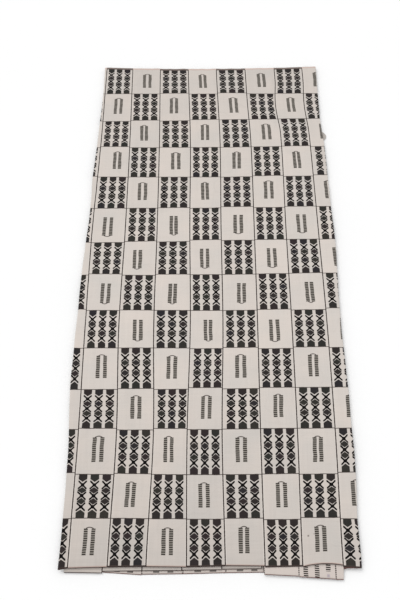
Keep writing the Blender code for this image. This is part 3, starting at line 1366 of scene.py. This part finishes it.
@dataclass(frozen=True)
class Motif:
    """Sizes of the woven figures within one cell, in mm from its left and far sides."""

    width: float = 85.0
    length: float = 99.5
    rows: int = 14
    columns_middle: float = 43.1
    columns_shift: float = 2.4
    column_pitch: float = 25.9
    column_half: float = 9.4
    cross_middle: float = 49.3
    cross_pitch: float = 24.45
    cross_slope: float = 0.936
    cross_line: float = 2.6
    cross_reach: float = 9.7
    cross_heart: float = 4.5
    diamond_half_width: float = 10.5
    diamond_half_length: float = 7.5
    far_cap_tip: float = 18.4
    far_cap_slope: float = 0.7
    near_cap_tip: float = 79.8
    near_cap_slope: float = 0.735
    tones_per_cell: int = 4
    bars_middle: float = 43.8
    bars_shift: float = 5.0
    bars_slide: float = 2.5
    bars_lean: float = 0.05
    bars_squeeze: float = 10.0
    bar_offset: float = 8.5
    bar_half: float = 4.45
    bar_start: float = 19.9
    bar_end: float = 74.1
    rung_pitch: float = 4.63
    rung_share: float = 0.6
    rung_stagger: float = 0.12
    arc_rise: float = 2.6
    arc_line: float = 1.0
    first_turned_row: float = 4.5
    last_turned_row: float = 8.5
    edge_line: float = 1.35
    # Width in mm of the painted highlight along each side of a strip.
    highlight_edge: float = 3.2
    row_line: float = 1.7
    near_line_and_shadow: float = 3.4
    far_line: float = 9.0
    tuck_strip: float = 18.0
    tuck_row: float = 16.6
    tuck_rows: float = 0.26
    tuck_painted_shade: float = 0.82
    lip_strip: float = 17.0
    figured_shade: float = 0.965
    far_dark: float = 0.7
    hem_line: float = 1.5
    back_rung_half: float = 5.3
    back_rung_pitch: float = 4.2
    back_rung_middle: float = 0.35


@dataclass(frozen=True)
class Yarns:
    """Colours of the cloth's yarns, scene-linear."""

    warm_ground: Colour = srgb(210, 200, 192)
    cool_ground: Colour = srgb(204, 198, 192)
    # Not a yarn: the pale colour of the painted highlights beside the seams and over the crosswise
    # fold.
    highlight_ground: Colour = srgb(213, 206, 199)
    black: Colour = srgb(12, 10, 10)
    charcoal: tuple[Colour, ...] = (
        srgb(43, 41, 44),
        srgb(47, 43, 41),
        srgb(49, 42, 43),
        srgb(46, 46, 43),
        srgb(53, 50, 46),
    )
    rung: Colour = srgb(56, 52, 48)
    rung_gap: Colour = srgb(148, 142, 134)
    arc: Colour = srgb(70, 61, 58)
    edge: Colour = srgb(64, 55, 52)
    blush: Colour = srgb(184, 150, 138)
    hem: Colour = srgb(72, 60, 57)
    back_hem: Colour = srgb(122, 92, 87)
    back_ground: Colour = srgb(208, 196, 189)
    fleck: Colour = srgb(112, 103, 98)
    smudge: Colour = srgb(158, 146, 158)


@dataclass(frozen=True)
class Unevenness:
    """How the ground varies: scales of its noise per metre, lengths in metres of cloth, and
    shares of light."""

    warp_scale: tuple[float, float] = (620.0, 14.0)
    weft_scale: tuple[float, float] = (16.0, 520.0)
    rib_scale: tuple[float, float] = (95.0, 4.0)
    band_scale: tuple[float, float] = (5.0, 130.0)
    patch_scale: float = 13.0
    patch_warmth: float = 1.8
    cell_warmth: float = 0.3
    least_warmth: float = 0.35
    # Thin darker lines along a noise ridge are painted shade in small creases.
    crease_scale: float = 9.0
    crease_half: float = 0.004
    crease_soft: float = 0.012
    base_light: float = 0.80
    cell_light: float = 0.03
    patch_light: float = 0.07
    streak_light: float = 0.18
    rib_light: float = 0.08
    band_light: float = 0.04
    painted_crease_shade: float = 0.035
    # The ground is made darker away from the middle of the top layer's length, most at the near
    # left corner.
    darkening_x: float = 1.2325
    darkening_y: float = 0.7
    darkening_soft: float = 0.3
    darkening_light: float = 0.16
    near_light: float = 0.13
    aside_light: float = 0.2


class Draw(Enum):
    """What each scatter over the cells decides, by its seed."""

    BARS_SHIFT = 1.0
    FIGURE_TONE = 2.0
    BARS_LEAN = 3.0
    BARS_SLIDE = 4.0
    GROUND_TONE = 5.0
    COLUMNS_SHIFT = 7.0


@dataclass(frozen=True)
class Place:
    """Where a shading point lies in the weave.

    The strip and the cell are whole numbers. x and y are mm within the cell, side is mm from
    the strip's nearer side and hem is mm from the cut end. pattern is 1 in cells of columns,
    and beyond is 1 past the last row. across and along are metres of opened cloth.
    """

    shader: Shader
    strip: Wire
    cell: Wire
    x: Wire
    y: Wire
    raw_x: Wire
    side: Wire
    hem: Wire
    pattern: Wire
    beyond: Wire
    across: Wire
    along: Wire
    cloth: bpy.types.NodeSocket

    def chance(self, draw: Draw) -> Wire:
        """An even scatter from 0 to 1 that differs for each cell."""
        return self.shader.chance(self.shader.vector(self.strip, self.cell, draw.value))

    def threads(self, scales: tuple[float, float]) -> Wire:
        """Noise with a scale of its own across and along the cloth."""
        place = self.shader.vector(self.across * scales[0], self.along * scales[1])
        return self.shader.noise(place, 1.0)


@dataclass(frozen=True)
class WeaveFinish:
    """What the face and the reverse of the cloth share."""

    name: str
    motif: Motif = field(default_factory=Motif)
    yarns: Yarns = field(default_factory=Yarns)
    uneven: Unevenness = field(default_factory=Unevenness)
    wobble: float = 1.6
    line_wobble: float = 0.9
    edge_wobble: float = 0.6
    wobble_scale: float = 45.0
    edge_wobble_scale: float = 260.0
    line_wobble_shift: float = 7.0
    relief: float = 0.00035
    roughness: float = 0.92

    def build(self) -> bpy.types.Material:
        """Makes the material."""
        shader = Shader(self.name)
        place = self.place(shader)
        warp, weft = place.threads(self.uneven.warp_scale), place.threads(self.uneven.weft_scale)
        streaks = (warp + weft) * 0.5
        ground = self.ground(place, streaks)
        figures, raised = self.figures(place, ground, streaks)
        colour = self.lines(place, figures)
        height = streaks * 0.5 + raised * 0.5
        return shader.finish(colour, height, self.relief, self.roughness)

    def place(self, shader: Shader) -> Place:
        """Works out where in the weave a point lies.

        Args:
            shader: the material's nodes.

        Returns:
            The place, in whole strips and rows and in mm within the cell.
        """
        motif = self.motif
        strips, rows = shader.uv("weave")
        hem, _ = shader.uv("hem")
        across = strips * (motif.width * MM)
        along = rows * (motif.length * MM)
        cloth = shader.vector(across, along)
        wander = shader.noise(cloth, self.wobble_scale)
        shifted = shader.vector(across + self.line_wobble_shift, along)
        wander_on = shader.noise(shifted, self.wobble_scale)
        waver = shader.noise(cloth, self.edge_wobble_scale, 1.0)
        row = rows + (wander_on - 0.5) * (2 * self.line_wobble / motif.length)
        strip = strips.floor()
        cell = row.floor()
        straight_x = (strips - strip) * motif.width
        raw_x = straight_x + (waver - 0.5) * (2 * self.edge_wobble)
        length = motif.rows * 2 * motif.length
        return Place(
            shader=shader,
            strip=strip,
            cell=cell,
            x=straight_x + (wander - 0.5) * (2 * self.wobble),
            y=(1 - (row - cell)) * motif.length,
            raw_x=raw_x,
            side=raw_x.least(motif.width - raw_x),
            hem=hem * HEM_UV_SCALE,
            pattern=1 - (strip + cell) % 2.0,
            beyond=shader.inside(length - row * motif.length),
            across=across,
            along=along,
            cloth=cloth,
        )

    def ground(self, place: Place, streaks: Wire) -> bpy.types.NodeSocket:
        """The undyed ground, uneven from cell to cell and within each.

        Args:
            place: the place in the weave.
            streaks: the fine threads.

        Returns:
            The ground's colour.
        """
        form = self.uneven
        shader = place.shader
        patches = shader.noise(place.cloth, form.patch_scale, 3.0)
        tone = place.chance(Draw.GROUND_TONE)
        warmth = (patches - 0.5) * form.patch_warmth + tone * form.cell_warmth
        warmth = warmth + form.least_warmth
        colour = shader.mix(warmth, self.yarns.cool_ground, self.yarns.warm_ground)
        light = form.base_light + tone * form.cell_light + patches * form.patch_light
        light = light + streaks * form.streak_light
        light = light + place.threads(form.rib_scale) * form.rib_light
        light = light + place.threads(form.band_scale) * form.band_light
        # Painted shade: thin darker lines along a noise ridge stand in for the shade of small
        # creases.
        crease = abs(shader.noise(place.cloth, form.crease_scale, 1.0) - 0.5) - form.crease_half
        light = light - shader.inside(crease, form.crease_soft) * form.painted_crease_shade
        return shader.shade(colour, light - self.darkening(place))

    def darkening(self, place: Place) -> Wire:
        """How much the ground darkens away from the top layer's middle, most at the near left
        corner.

        Args:
            place: the place in the weave.

        Returns:
            The share of light lost.
        """
        form = self.uneven
        aside = place.across - form.darkening_x
        along = place.along - form.darkening_y
        away = abs(along).least(form.darkening_y)
        square = away * away
        nearer = place.shader.inside(along, form.darkening_soft)
        return square * form.darkening_light + nearer * square * (
            form.near_light - aside * form.aside_light
        )

    def figures(
        self, place: Place, ground: bpy.types.NodeSocket, streaks: Wire
    ) -> tuple[bpy.types.NodeSocket, Wire]:
        """The woven figures; each side of the cloth has its own."""
        raise NotImplementedError

    def to_columns(self, off: Wire) -> tuple[Wire, Wire]:
        """How far a point lies from the nearest of the three columns, and the mask of all."""
        pitch = self.motif.column_pitch
        return abs(off.wrapped(pitch / 2)), off.shader.inside(abs(off) - pitch * 1.5)

    def from_rungs(self, phase: Wire, pitch: float, middle: float, half: float) -> Wire:
        """How far in mm a point lies outside rungs placed by shares of their pitch."""
        return (abs(phase % 1.0 - middle) - half) * pitch

    def edge_mask(self, place: Place) -> Wire:
        """The dark threads along both sides of a strip."""
        return place.shader.inside(place.side - self.motif.edge_line)

    def lines(self, place: Place, colour: bpy.types.NodeSocket) -> bpy.types.NodeSocket:
        """Draws the strip edges, row lines and hems.

        Args:
            place: the place in the weave.
            colour: the colour so far.

        Returns:
            The colour with its lines.
        """
        motif = self.motif
        shader = place.shader
        to_end = motif.length - place.y
        row_line = shader.inside(place.y.least(to_end) - motif.row_line) * place.pattern
        dark = self.edge_mask(place).most(row_line * (1 - place.beyond))
        # The figured cells' band at the near end is dark and twice as wide as a row line: partly
        # the real row line, partly painted shadow beneath the near edge.
        first = place.cell.equals(0.0) * shader.inside(to_end - motif.near_line_and_shadow)
        last = place.cell.equals(float(motif.rows)) * shader.inside(to_end - motif.far_line)
        dark = dark * (1 - last) + last * (1 - place.pattern) * motif.far_dark
        dark = dark.most(first * place.pattern)
        # Painted highlight: the band over the crosswise fold is paled to stand in for the light on
        # its rounded top.
        pale = shader.mix(last, colour, self.yarns.highlight_ground)
        blushed = shader.mix((first + last) * 0.5, pale, self.yarns.blush)
        lined = shader.mix(dark, blushed, self.yarns.edge)
        return shader.mix(shader.inside(place.hem - motif.hem_line), lined, self.hem_colour())

    def hem_colour(self) -> Colour:
        """The colour of the cut and rolled end on this side."""
        return self.yarns.hem


@dataclass(frozen=True)
class FigureSlip:
    """How far left of their usual place, in mm, the figures of one cell lie."""

    strip: float
    cell: float
    slip: float


FIGURE_SLIPS: tuple[FigureSlip, ...] = (
    FigureSlip(11, 2, -3.3),
    FigureSlip(11, 8, 6.0),
    FigureSlip(11, 10, -9.0),
    FigureSlip(12, 0, 2.0),
    FigureSlip(12, 1, 5.8),
    FigureSlip(12, 7, 8.5),
    FigureSlip(12, 9, 2.7),
    FigureSlip(12, 11, 4.4),
    FigureSlip(13, 0, 2.6),
    FigureSlip(13, 2, 3.5),
    FigureSlip(13, 3, -2.5),
    FigureSlip(13, 12, 5.0),
    FigureSlip(14, 1, 3.6),
    FigureSlip(14, 4, -3.4),
    FigureSlip(14, 7, 4.2),
    FigureSlip(15, 3, -3.6),
    FigureSlip(15, 6, -3.3),
    FigureSlip(17, 0, 5.3),
    FigureSlip(17, 6, -6.6),
    FigureSlip(18, 0, 3.0),
    FigureSlip(18, 1, 6.0),
    FigureSlip(18, 7, 2.5),
    FigureSlip(18, 9, 4.0),
    FigureSlip(18, 10, -5.0),
)


@dataclass(frozen=True)
class Fleck:
    """A small dark spot: its place in the cell and half its size, in mm."""

    x: float
    y: float
    half: float


@dataclass(frozen=True)
class FaceFinish(WeaveFinish):
    """The cloth's face: crosses and diamonds in one cell, two barred stripes in the next."""

    flecks: tuple[Fleck, ...] = (Fleck(14.5, 38.0, 1.7), Fleck(27.0, 34.5, 1.0))
    fleck_soft: float = 1.5
    fleck_share: float = 0.8
    highlight_share: float = 0.6
    least_dye: float = 0.4
    streaked_dye: float = 1.2

    def figures(
        self, place: Place, ground: bpy.types.NodeSocket, streaks: Wire
    ) -> tuple[bpy.types.NodeSocket, Wire]:
        """Draws the figures of the face.

        Args:
            place: the place in the weave.
            ground: the ground's colour.
            streaks: the fine threads.

        Returns:
            The colour with the figures, and where they stand up from the ground.
        """
        motif = self.motif
        yarns = self.yarns
        shader = place.shader
        # Painted highlight: a pale band along both sides of each strip, where the cloth rises
        # beside the seams.
        pale = shader.inside(place.side - motif.highlight_edge)
        colour = shader.mix(pale * self.highlight_share, ground, yarns.highlight_ground)
        row = place.cell + 1.0 - place.y / motif.length
        at_tuck = shader.inside((abs(row - motif.tuck_row) - motif.tuck_rows) * motif.length)
        at_tuck = at_tuck * place.strip.equals(motif.tuck_strip)
        # Painted shade: the tuck that stands out of the lower right-hand fold is darkened to stand
        # in for the shade it lies in.
        colour = shader.shade(colour, 1 - at_tuck * (1 - motif.tuck_painted_shade))
        colour = shader.shade(colour, 1 - place.pattern * (1 - motif.figured_shade))
        in_rows = (1 - place.beyond) * (1 - at_tuck)
        slip = self.slipped(place)
        filled, crosses, tone = self.columns(place, slip)
        shown = place.pattern * in_rows
        dye = self.least_dye + streaks * self.streaked_dye
        dark = shader.shade(shader.ramp(tone, yarns.charcoal), dye)
        colour = shader.mix(filled * shown, colour, dark)
        colour = shader.mix(crosses * shown, colour, yarns.black)
        colour = self.spotted(place, colour)
        bars, rungs, arc = self.bars(place, slip)
        shown = (1 - place.pattern) * in_rows
        for mask, yarn in ((bars, yarns.rung_gap), (rungs, yarns.rung), (arc, yarns.arc)):
            colour = shader.mix(mask * shown, colour, yarn)
        raised = filled.most(crosses) * place.pattern + rungs * shown
        return colour, raised * in_rows

    def spotted(self, place: Place, colour: bpy.types.NodeSocket) -> bpy.types.NodeSocket:
        """Adds the few flecks beside the raised edge.

        Args:
            place: the place in the weave.
            colour: the colour so far.

        Returns:
            The colour with its flecks.
        """
        shader = place.shader
        at_lip = place.strip.equals(self.motif.lip_strip) * shader.inside(place.cell - 0.5)
        for fleck in self.flecks:
            aside = abs(place.raw_x - fleck.x) - fleck.half
            away = aside.most(abs(place.y - fleck.y) - fleck.half)
            share = shader.inside(away, self.fleck_soft) * at_lip * self.fleck_share
            colour = shader.mix(share, colour, self.yarns.fleck)
        return colour

    def slipped(self, place: Place) -> Wire:
        """How far to the left of their usual place the figures of a cell lie.

        Args:
            place: the place in the weave.

        Returns:
            The distance in mm.
        """
        slip = place.strip * 0.0
        for row in FIGURE_SLIPS:
            away = abs(place.strip - row.strip) + abs(place.cell - row.cell)
            slip = slip + place.shader.inside(away - 0.5) * row.slip
        return slip

    def columns(self, place: Place, slip: Wire) -> tuple[Wire, Wire, Wire]:
        """The three columns of crosses, diamonds and end caps.

        Args:
            place: the place in the weave.
            slip: how far to the left they lie, in mm.

        Returns:
            The masks of the charcoal figures and the black crosses, and the tone number.
        """
        motif = self.motif
        shader = place.shader
        shift = place.chance(Draw.COLUMNS_SHIFT) - 0.5
        off = place.x - motif.columns_middle + shift * motif.columns_shift + slip
        aside, in_columns = self.to_columns(off)
        from_middle = abs(place.y - motif.cross_middle)
        rise = abs((place.y - motif.cross_middle).wrapped(motif.cross_pitch / 2))
        arm = abs(rise - aside * motif.cross_slope) - motif.cross_line
        cross = shader.inside(arm.most(aside.most(rise) - motif.cross_reach))
        heart = shader.inside(aside + rise - motif.cross_heart)
        crosses = cross.most(heart) * shader.inside(from_middle - motif.cross_pitch * 1.5)
        lean = motif.diamond_half_width / motif.diamond_half_length
        to_diamond = (motif.cross_pitch / 2 - rise) * lean
        wide = aside - motif.column_half
        diamond = shader.inside(to_diamond + aside - motif.diamond_half_width)
        diamond = diamond * shader.inside((from_middle - motif.cross_pitch).most(wide))
        far_cap = place.y + aside * motif.far_cap_slope - motif.far_cap_tip
        near_cap = aside * motif.near_cap_slope + motif.near_cap_tip - place.y
        caps = shader.inside(far_cap.most(wide)).most(shader.inside(near_cap.most(wide)))
        column = ((off + motif.column_pitch * 1.5) / motif.column_pitch).floor()
        figure = (place.y / (motif.length / motif.tones_per_cell)).floor()
        spot = shader.vector(
            place.strip * float(motif.tones_per_cell) + column,
            place.cell * (motif.tones_per_cell + 1.0) + figure,
            Draw.FIGURE_TONE.value,
        )
        filled = diamond.most(caps) * in_columns
        return filled, crosses * in_columns, shader.chance(spot)

    def bars(self, place: Place, slip: Wire) -> tuple[Wire, Wire, Wire]:
        """The pair of barred stripes and the thread that joins them.

        Args:
            place: the place in the weave.
            slip: how far to the left they lie, in mm.

        Returns:
            The masks of the whole stripes, of their dark bars and of the joining thread.
        """
        motif = self.motif
        shader = place.shader
        shift = place.chance(Draw.BARS_SHIFT) - 0.5
        lean = place.chance(Draw.BARS_LEAN) - 0.5
        slide = place.chance(Draw.BARS_SLIDE) - 0.5
        row = place.cell % float(motif.rows)
        turned = row.above(motif.first_turned_row) * (1 - row.above(motif.last_turned_row))
        y = place.y + turned * (motif.length - place.y * 2) + slide * motif.bars_slide
        leant = shift * motif.bars_shift + (y - motif.cross_middle) * lean * motif.bars_lean
        x = place.x - motif.bars_middle + slip + leant
        aside = abs(x)
        over = (motif.bar_start - y).most(y - motif.bar_end)
        spread = motif.bar_offset - lean * lean * motif.bars_squeeze
        bars = shader.inside((abs(aside - spread) - motif.bar_half).most(over))
        half = motif.rung_share / 2
        phase = (y - motif.bar_start) / motif.rung_pitch + x.above(0.0) * motif.rung_stagger
        rungs = bars * shader.inside(self.from_rungs(phase, motif.rung_pitch, half, half))
        share = aside / spread
        crest = y - motif.bar_start + motif.arc_rise * (1 - share * share)
        arc = shader.inside((abs(crest) - motif.arc_line).most(aside - spread))
        return bars, rungs, arc


@dataclass(frozen=True)
class ReverseFinish(WeaveFinish):
    """The cloth's reverse: short floats behind the columns, and dotted strip edges."""

    rung_slant: float = 0.09
    rung_half: float = 0.31
    dot_half: float = 0.3
    dash_left: float = 29.8
    dash_right: float = 59.5
    dash_half: float = 6.4
    dash_from_hem: float = 5.0
    dash_line: float = 1.9
    dash_cell: float = 26.5
    dash_share: float = 0.75
    flap_strip: float = 19.0
    short_end: float = 15.0
    smudge_from_hem: float = 6.5
    smudge_half: float = 3.0
    smudge_share: float = 0.7

    def figures(
        self, place: Place, ground: bpy.types.NodeSocket, streaks: Wire
    ) -> tuple[bpy.types.NodeSocket, Wire]:
        """Draws the floats of the reverse.

        Args:
            place: the place in the weave.
            ground: the ground's colour.
            streaks: the fine threads; not used on the reverse.

        Returns:
            The colour with the floats, and where they stand up from the ground.
        """
        motif = self.motif
        shader = place.shader
        off = place.x - motif.columns_middle
        aside, in_columns = self.to_columns(off)
        pitch = motif.back_rung_pitch
        phase = (place.y + off * self.rung_slant) / pitch
        step = self.from_rungs(phase, pitch, motif.back_rung_middle, self.rung_half)
        rung = shader.inside(step.most(aside - motif.back_rung_half))
        at_flap = place.strip.equals(self.flap_strip) * shader.inside(place.hem - self.short_end)
        third = abs(off + motif.column_pitch)
        short = at_flap * shader.inside(third - motif.column_pitch / 2)
        floats = rung * in_columns * place.pattern * (1 - place.beyond) * (1 - short)
        colour = shader.mix(0.5, ground, self.yarns.back_ground)
        round_spot = third.most(abs(place.hem - self.smudge_from_hem)) - self.smudge_half
        smudge = at_flap * shader.inside(round_spot, self.smudge_half) * self.smudge_share
        colour = shader.mix(smudge, colour, self.yarns.smudge)
        colour = shader.mix(floats, colour, self.yarns.rung)
        to_dash = abs(place.x - self.dash_left).least(abs(place.x - self.dash_right))
        from_line = abs(place.hem - self.dash_from_hem) - self.dash_line
        dashes = shader.inside((to_dash - self.dash_half).most(from_line))
        dashes = dashes * place.cell.above(self.dash_cell)
        return shader.mix(dashes * self.dash_share, colour, self.yarns.rung), floats.most(dashes)

    def edge_mask(self, place: Place) -> Wire:
        """Dark dots where the sewing shows through along a strip's sides.

        Args:
            place: the place in the weave.

        Returns:
            The mask of the dots.
        """
        motif = self.motif
        shader = place.shader
        pitch = motif.back_rung_pitch
        step = self.from_rungs(place.y / pitch, pitch, motif.back_rung_middle, self.dot_half)
        dots = shader.inside((place.side - motif.edge_line).most(step))
        return dots.most(shader.inside(place.side - motif.edge_line / 2) * 0.5)

    def hem_colour(self) -> Colour:
        """The brownish pink of the reverse's cut ends."""
        return self.yarns.back_hem


@dataclass(frozen=True)
class ThreadFinish:
    """Dark cotton thread with uneven dye, for the cut edges and the sewing."""

    name: str
    dark: Colour
    light: Colour
    scale: float = 420.0
    contrast: float = 1.8
    fibre_scale: float = 1050.0
    relief: float = 0.0001
    roughness: float = 0.85

    def build(self) -> bpy.types.Material:
        """Makes the material."""
        shader = Shader(self.name)
        place = shader.node("ShaderNodeTexCoord").outputs["Object"]
        dye = shader.noise(place, self.scale)
        colour = shader.ramp((dye - 0.5) * self.contrast + 0.5, (self.dark, self.light))
        fibres = shader.noise(place, self.fibre_scale)
        return shader.finish(colour, fibres, self.relief, self.roughness)


@dataclass(frozen=True)
class FloorFinish:
    """A pale floor, faintly uneven."""

    name: str = "pale_floor"
    light: Colour = (0.93, 0.93, 0.93, 1.0)
    dark: Colour = (0.915, 0.915, 0.915, 1.0)
    scale: float = 2.0
    relief: float = 0.0001
    roughness: float = 0.9

    def build(self) -> bpy.types.Material:
        """Makes the material."""
        shader = Shader(self.name)
        place = shader.node("ShaderNodeTexCoord").outputs["Object"]
        patches = shader.noise(place, self.scale)
        colour = shader.ramp(patches, (self.dark, self.light))
        return shader.finish(colour, patches, self.relief, self.roughness)


@dataclass
class ClothFinishes:
    """The cloth's materials, made once."""

    face: bpy.types.Material
    reverse: bpy.types.Material
    rim: bpy.types.Material
    thread: bpy.types.Material

    @classmethod
    def build(cls) -> "ClothFinishes":
        """Makes the four materials."""
        return cls(
            face=FaceFinish("woven_face").build(),
            reverse=ReverseFinish("woven_reverse").build(),
            rim=ThreadFinish("cut_edge", srgb(62, 52, 50), srgb(120, 103, 98)).build(),
            thread=ThreadFinish("seam_thread", srgb(46, 39, 37), srgb(92, 80, 75)).build(),
        )

    def in_order(self) -> tuple[bpy.types.Material, ...]:
        """The materials in the order of a sheet's slots."""
        return self.face, self.reverse, self.rim


# Floor, light and camera.


@dataclass(frozen=True)
class Studio:
    """A plain floor, a pale surround and one soft light."""

    floor_size: float = 14.0
    floor_drop: float = 0.0002
    surround: float = 0.84
    key_strength: float = 1.05
    key_spread_deg: float = 35.0
    key_tilt_deg: float = 42.0
    key_turn_deg: float = 35.0

    def build(self) -> None:
        """Makes the floor and the lights."""
        self.build_floor()
        self.build_surround()
        self.build_key()
        bpy.context.scene.view_settings.view_transform = "Standard"

    def build_floor(self) -> None:
        """Makes the floor on which the cloth lies."""
        floor = bmesh.new()
        bmesh.ops.create_grid(floor, x_segments=2, y_segments=2, size=self.floor_size / 2)
        mesh = bpy.data.meshes.new("floor")
        bmesh.ops.translate(floor, vec=(0, 0, -self.floor_drop), verts=floor.verts)
        floor.to_mesh(mesh)
        floor.free()
        mesh.materials.append(FloorFinish().build())
        made = add_object("floor", mesh)

    def build_surround(self) -> None:
        """Makes the pale surround."""
        world = bpy.data.worlds.new("surround")
        world.use_nodes = True
        background = world.node_tree.nodes["Background"]
        background.inputs["Color"].default_value = (1, 1, 1, 1)
        background.inputs["Strength"].default_value = self.surround
        bpy.context.scene.world = world

    def build_key(self) -> None:
        """Makes the soft light from the far left."""
        light = bpy.data.lights.new("soft_key", "SUN")
        light.energy = self.key_strength
        light.angle = math.radians(self.key_spread_deg)
        turn = Matrix.Rotation(math.radians(self.key_turn_deg), 4, "Z")
        tilt = Matrix.Rotation(math.radians(-self.key_tilt_deg), 4, "X")
        add_object("soft_key", light).matrix_world = turn @ tilt


@dataclass(frozen=True)
class PhotoCamera:
    """The camera above the near end of the cloth, in metres of the plan and in degrees."""

    sizes: ClothSizes = field(default_factory=ClothSizes)
    x: float = 0.01295
    y: float = -0.0462
    z: float = 1.5083
    tilt_deg: float = 65.854
    yaw_deg: float = 2.255
    roll_deg: float = 2.486
    lens_mm: float = 39.0
    sensor_mm: float = 36.0

    def build(self) -> None:
        """Makes the camera and hands it to the scene."""
        tilt, yaw, roll = (math.radians(a) for a in (self.tilt_deg, self.yaw_deg, self.roll_deg))
        ahead = Vector((-math.sin(yaw), math.cos(yaw), 0))
        upward = Vector((0, 0, 1))
        forward = ahead * math.cos(tilt) - upward * math.sin(tilt)
        right = Vector((math.cos(yaw), math.sin(yaw), 0))
        top = ahead * math.sin(tilt) + upward * math.cos(tilt)
        axis_x = right * math.cos(roll) - top * math.sin(roll)
        axis_y = right * math.sin(roll) + top * math.cos(roll)
        matrix = Matrix((axis_x, axis_y, -forward)).transposed().to_4x4()
        middle = Vector((self.sizes.middle_x, self.sizes.middle_y, 0))
        matrix.translation = Vector((self.x, self.y, self.z)) - middle
        data = bpy.data.cameras.new("photo_camera")
        data.lens = self.lens_mm
        data.sensor_width = self.sensor_mm
        made = add_object("photo_camera", data)
        made.matrix_world = matrix
        bpy.context.scene.camera = made


def join_to_frame(strips: WovenStrips, sewing: SeamSewing) -> None:
    """Ties every piece to the solids it stands for.

    Args:
        strips: the woven sheets.
        sewing: the stitches between them.
    """
    for strip in STRIPS:
        sheet = strips.sheets[strip.seam]
        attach(sheet, BODY)
        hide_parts(strip.name)
        stitches = [sewing.pieces[strip.seam]] if strip.seam in sewing.pieces else []
        for piece in stitches:
            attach(piece, BODY)
        log.info("%s rides on %s", sheet.name, BODY)


def main() -> None:
    """Builds the cloth, the studio and the camera."""
    logging.basicConfig(level=logging.INFO, format="%(message)s")
    PhotoCamera().build()
    Studio().build()
    finishes = ClothFinishes.build()
    strips = WovenStrips(FoldedCloth())
    strips.build(finishes)
    sewing = SeamSewing(strips)
    sewing.build(finishes.thread)
    join_to_frame(strips, sewing)


if __name__ == "__main__":
    main()
